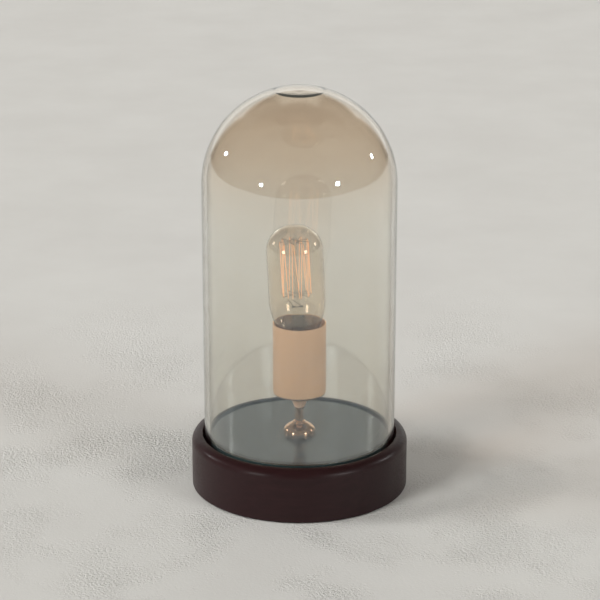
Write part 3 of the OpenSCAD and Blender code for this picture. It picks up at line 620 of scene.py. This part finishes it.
def makeScrews(name, look):
    blank = bpy.data.objects.new(name + "Blank", screwBlank(look))
    bpy.context.scene.collection.objects.link(blank)
    seed = bpy.data.meshes.new(name + "Seed")
    seed.from_pydata([Vector(p) * mm for p in look["points"]], [], [])
    tree, source, last, keys = startTree(name, {"Screw": "NodeSocketObject", "Turn": "NodeSocketFloat",
                                                "Finish": "NodeSocketMaterial"})
    shape = addNode(tree, "GeometryNodeObjectInfo")
    index = addNode(tree, "GeometryNodeInputIndex")
    turnBy = addNode(tree, "ShaderNodeMath", operation="MULTIPLY")
    spin = addNode(tree, "ShaderNodeCombineXYZ")
    toTurn = addNode(tree, "FunctionNodeEulerToRotation")
    place = addNode(tree, "GeometryNodeInstanceOnPoints")
    wire(tree, source, "Screw", shape, "Object")
    wire(tree, index, "Index", turnBy, 0)
    wire(tree, source, "Turn", turnBy, 1)
    wire(tree, turnBy, "Value", spin, "Z")
    wire(tree, spin, "Vector", toTurn, "Euler")
    wire(tree, toTurn, "Rotation", place, "Rotation")
    wire(tree, source, "Geometry", place, "Points")
    wire(tree, shape, "Geometry", place, "Instance")
    endTree(tree, source, place, "Instances", last)
    mesh = growMesh(name, seed, tree, keys, {"Screw": blank, "Turn": screwForm["turn"], "Finish": looks["zincSteel"]})
    bpy.data.objects.remove(blank)
    mesh.set_sharp_from_angle(angle=math.radians(screwForm["sharp"]))
    finishPiece(name, mesh, "base", "zinc_steel", looks["zincSteel"], look["node"])


for screwName, screwLook in screwLooks.items():
    makeScrews(screwName, screwLook)

# collar under the cup: a short turned cone with eased edges
collarLook = {"hole": 3.65, "low": 64.0, "high": 75.7, "lowRadius": 4.05, "highRadius": 8.6, "ease": 0.25, "rows": 10,
              "steps": 96}


def collarSection(look):
    def at(angle):
        low, high, ease = look["low"], look["high"], look["ease"]
        section = [(look["hole"], low), (look["lowRadius"] - ease, low)]
        for i in range(look["rows"] + 1):
            share = i / look["rows"]
            radius = look["lowRadius"] + (look["highRadius"] - look["lowRadius"]) * share
            section.append((radius, low + ease + (high - low - ease) * share))
        return section + [(look["hole"], high)]
    return at


collarMesh = turned("conicalCollar", collarSection(collarLook), collarLook["steps"])
# the collar wears the paler copper that paints light on it
finishPiece("conicalCollar", collarMesh, "base", "satin_copper", looks["paintedLightCopper"], "cup_collar")

# felt ring: soft rounded edges and a slightly uneven outline
feltLook = {"inner": 66.0, "outer": 81.0, "high": 2.0, "round": 0.7, "uneven": 0.12, "waves": (11, 23), "shift": 1.3,
            "arcPoints": 6, "steps": 180}


def feltSection(look):
    def at(angle):
        wide, fine = look["waves"]
        drift = look["uneven"] * (0.5 + 0.25 * math.sin(wide * angle) + 0.25 * math.sin(fine * angle + look["shift"]))
        inner, outer, high, r = look["inner"] + drift, look["outer"] - drift, look["high"], look["round"]
        corners = ((inner + r, r, 180), (outer - r, r, 270), (outer - r, high - r, 0), (inner + r, high - r, 90))
        section = []
        for x, z, start in corners:
            for i in range(look["arcPoints"]):
                a = math.radians(start + 90 * i / (look["arcPoints"] - 1))
                section.append((x + r * math.cos(a), z + r * math.sin(a)))
        return section
    return at


feltMesh = turned("feltPad", feltSection(feltLook), feltLook["steps"])
feltPad = finishPiece("feltPad", feltMesh, "base", "felt", looks["feltBlack"], "felt_ring")

# plain pale floor, like rubbed plaster, with painted shade darkening it toward the camera
floorLook = {"x": (-9.0, 9.0), "y": (-3.9, 9.0), "pale": (0.620, 0.618, 0.592), "dull": (0.590, 0.586, 0.560),
             "cloud": 7.0, "wrinkle": (450.0, 1.0, 0.0022), "near": (0.12, 0.55), "farRelief": 0.12,
             "patch": 9.0, "patchSpan": (0.44, 0.60), "patchRelief": 0.10,
             # front and frontSpan: painted shade, the floor colour multiplied darker toward the camera
             "front": (0.93, 0.93, 0.925), "frontSpan": (-0.55, 0.25)}


def makeFloor(look):
    mesh = bpy.data.meshes.new("floor")
    (xLow, xHigh), (yLow, yHigh) = look["x"], look["y"]
    mesh.from_pydata([(xLow, yLow, 0), (xHigh, yLow, 0), (xHigh, yHigh, 0), (xLow, yHigh, 0)], [], [(0, 1, 2, 3)])
    floor = bpy.data.objects.new("floor", mesh)
    bpy.context.scene.collection.objects.link(floor)
    mat, tree, skin, out = startMaterial("palePlaster")
    cloud = noise(tree, objectPoint(tree), look["cloud"], 6.0, 0.6)
    tone = ramp(tree, cloud, "Fac", [(0.35, look["dull"]), (0.65, look["pale"])])
    parts = addNode(tree, "ShaderNodeSeparateXYZ")
    wire(tree, objectPoint(tree), "Vector", parts, "Vector")
    # painted shade: the floor's colour is darkened toward the camera
    far = mapRange(tree, parts, "Y", *look["frontSpan"], 0.0, 1.0)
    frontShade = ramp(tree, far, "Result", [(0.0, look["front"]), (1.0, (1, 1, 1))])
    mix = addNode(tree, "ShaderNodeMix", {0: 1.0}, data_type="RGBA", blend_type="MULTIPLY")
    wire(tree, tone, "Color", mix, 6)
    wire(tree, frontShade, "Color", mix, 7)
    wire(tree, mix, 2, skin, "Base Color")
    scale, strength, depth = look["wrinkle"]
    trowel = noise(tree, objectPoint(tree), scale, 3.0, 0.55, 0.6)
    away = addNode(tree, "ShaderNodeVectorMath", operation="LENGTH")
    wire(tree, objectPoint(tree), "Vector", away, 0)
    patches = noise(tree, objectPoint(tree), look["patch"], 3.0, 0.6)
    near = mapRange(tree, away, "Value", *look["near"], 1.0, look["farRelief"])
    spread = mapRange(tree, patches, "Fac", *look["patchSpan"], look["patchRelief"], 1.0)
    relief = addNode(tree, "ShaderNodeMath", operation="MULTIPLY")
    wire(tree, near, "Result", relief, 0)
    wire(tree, spread, "Result", relief, 1)
    swing = addNode(tree, "ShaderNodeMath", {1: 0.5}, operation="SUBTRACT")  # so that patches make no hills
    wire(tree, trowel, "Fac", swing, 0)
    height = addNode(tree, "ShaderNodeMath", operation="MULTIPLY")
    wire(tree, relief, "Value", height, 0)
    wire(tree, swing, "Value", height, 1)
    bump(tree, height, "Value", skin, strength, depth)
    setSkin(skin, {"Roughness": 0.9, "Specular IOR Level": 0.15})
    mesh.materials.append(mat)


makeFloor(floorLook)

# studio: a pale wall behind with a strip above it, a dark room in front and above; straight looks see a pale backdrop
worldLook = {"room": (0.085, 0.062, 0.042), "wall": (0.80, 0.80, 0.77), "seen": (0.60, 0.60, 0.575),
             "wallSide": 0.78, "wallSoft": 0.05, "wallTop": (0.44, 0.50), "strip": (0.52, 0.47, 0.38),
             "stripSide": (0.17, 0.25), "stripTop": (0.78, 0.87), "frontSpan": (0.0, 0.1)}


def makeWorld(look):
    world = bpy.data.worlds.new("studio")
    bpy.context.scene.world = world
    world.use_nodes = True
    tree = world.node_tree
    tree.nodes.clear()
    out = addNode(tree, "ShaderNodeOutputWorld")
    shine = addNode(tree, "ShaderNodeBackground")
    wire(tree, shine, "Background", out, "Surface")
    place = addNode(tree, "ShaderNodeTexCoord")
    parts = addNode(tree, "ShaderNodeSeparateXYZ")
    wire(tree, place, "Generated", parts, "Vector")

    def blend(fac, first, second):
        node = addNode(tree, "ShaderNodeMix", data_type="RGBA")
        tree.links.new(fac, node.inputs[0])
        for index, value in ((6, first), (7, second)):
            if isinstance(value, tuple):
                node.inputs[index].default_value = (*value, 1)
            else:
                tree.links.new(value, node.inputs[index])
        return node.outputs[2]

    def math2(kind, first, second):
        node = addNode(tree, "ShaderNodeMath", operation=kind)
        for index, value in ((0, first), (1, second)):
            if isinstance(value, float):
                node.inputs[index].default_value = value
            else:
                tree.links.new(value, node.inputs[index])
        return node

    wide = math2("ABSOLUTE", parts.outputs["X"], 0.0)
    reach = math2("MULTIPLY", parts.outputs["Y"], look["wallSide"])
    past = math2("SUBTRACT", wide.outputs[0], reach.outputs[0])
    beside = mapRange(tree, past, "Value", -look["wallSoft"], look["wallSoft"], 0.0, 1.0)
    above = mapRange(tree, parts, "Z", *look["wallTop"], 0.0, 1.0)
    off = math2("MAXIMUM", beside.outputs[0], above.outputs[0])
    besideStrip = mapRange(tree, wide, "Value", *look["stripSide"], 0.0, 1.0)
    aboveStrip = mapRange(tree, parts, "Z", *look["stripTop"], 0.0, 1.0)
    front = mapRange(tree, parts, "Y", *look["frontSpan"], 1.0, 0.0)
    onWall = math2("SUBTRACT", 1.0, above.outputs[0])
    offStrip = math2("MAXIMUM", besideStrip.outputs[0], aboveStrip.outputs[0])
    for limit in (front, onWall):
        offStrip = math2("MAXIMUM", offStrip.outputs[0], limit.outputs[0])
    room = blend(offStrip.outputs[0], look["strip"], blend(off.outputs[0], look["wall"], look["room"]))
    rays = addNode(tree, "ShaderNodeLightPath")
    straight = math2("LESS_THAN", rays.outputs["Glossy Depth"], 0.5)
    through = math2("MULTIPLY", rays.outputs["Is Transmission Ray"], straight.outputs[0])
    seen = math2("MAXIMUM", rays.outputs["Is Camera Ray"], through.outputs[0])
    tree.links.new(blend(seen.outputs[0], room, look["seen"]), shine.inputs["Color"])


makeWorld(worldLook)

# soft keys from the sides and a sky fill shape the shadows; small lamps give the glints on the cloche, and larger
# ones the glints on what stands inside it
lampLooks = {
    "keyLeft": {"from": (-0.68, -0.60, 0.44), "sun": 1.98, "angle": 18},
    "keySide": {"from": (-0.89, -0.03, 0.44), "sun": 1.62, "angle": 22},
    "keyRight": {"from": (0.70, -0.55, 0.40), "sun": 1.11, "angle": 25},
    "skyFill": {"from": (0.0, 0.0, 1.0), "sun": 0.75, "angle": 150},
    "glintSideLeft": {"at": (-2.01, 0.715, 0.88), "size": 0.11, "watts": 5.0},
    "glintSideRight": {"at": (2.02, 0.55, 0.87), "size": 0.12, "watts": 6.0},
    "glintFrontLeft": {"at": (-1.41, -1.41, 0.56), "size": 0.11, "watts": 6.0},
    "glintFrontRight": {"at": (1.41, -1.41, 0.60), "size": 0.14, "watts": 8.0},
    "insideSideLeft": {"at": (-2.01, 0.715, 0.88), "size": 0.30, "watts": 2.4, "inside": True},
    "insideSideRight": {"at": (2.02, 0.55, 0.87), "size": 0.30, "watts": 2.4, "inside": True},
    "insideFrontLeft": {"at": (-1.41, -1.41, 0.56), "size": 0.42, "watts": 4.4, "inside": True},
    "insideFrontRight": {"at": (1.41, -1.41, 0.56), "size": 0.42, "watts": 4.4, "inside": True},
}


lampAim = {"sunAway": 3.0, "target": (0, 0, 0.15)}


def makeLamp(name, look):
    lamp = bpy.data.lights.new(name, "SUN" if "sun" in look else "AREA")
    thing = bpy.data.objects.new(name, lamp)
    if "sun" in look:
        lamp.energy = look["sun"]
        lamp.angle = math.radians(look["angle"])
        way = Vector(look["from"]).normalized()
        thing.location = way * lampAim["sunAway"]
    else:
        lamp.energy = look["watts"]
        lamp.size = look["size"]
        thing.location = look["at"]
        way = (Vector(look["at"]) - Vector(lampAim["target"])).normalized()
    thing.rotation_mode = "QUATERNION"
    thing.rotation_quaternion = way.to_track_quat("Z", "Y")
    thing.visible_camera = False
    if "sun" in look:
        thing.visible_glossy = thing.visible_transmission = False
    else:
        thing.visible_diffuse = False  # glints only, so no light goes on from them by way of the glass
        lamp.use_nodes = True
        tree = lamp.node_tree
        tree.nodes.clear()
        glow = addNode(tree, "ShaderNodeEmission")
        wire(tree, glow, "Emission", addNode(tree, "ShaderNodeOutputLight"), "Surface")
        rays = addNode(tree, "ShaderNodeLightPath")
        bare = mapRange(tree, rays, "Diffuse Depth", 0.0, 0.5, 1.0, 0.0)
        # rays that have been in and out of the cloche see the inside lamps, and rays that stay outside the others
        depths = (3.0, 3.5, 0.0, 1.0) if look.get("inside") else (1.0, 1.5, 1.0, 0.0)
        wire(tree, mapRange(tree, rays, "Transmission Depth", *depths), "Result", bare, "To Min")
        wire(tree, bare, "Result", glow, "Strength")
    bpy.context.scene.collection.objects.link(thing)


for lampName, lampLook in lampLooks.items():
    makeLamp(lampName, lampLook)

# camera at the photograph's place
cameraLook = {"place": (0.00045, -1.6749, 0.7135), "pitch": 18.54, "lens": 136.5, "sensor": 36.0, "far": 60.0}
camera = bpy.data.cameras.new("camera")
camera.lens = cameraLook["lens"]
camera.sensor_width = cameraLook["sensor"]
camera.clip_end = cameraLook["far"]
cameraThing = bpy.data.objects.new("camera", camera)
cameraThing.location = cameraLook["place"]
cameraThing.rotation_euler = (math.radians(90 - cameraLook["pitch"]), 0, 0)
bpy.context.scene.collection.objects.link(cameraThing)
bpy.context.scene.camera = cameraThing
bpy.context.scene.view_settings.view_transform = "Standard"
print("stage, lamps and camera set")

bpy.context.view_layer.update()
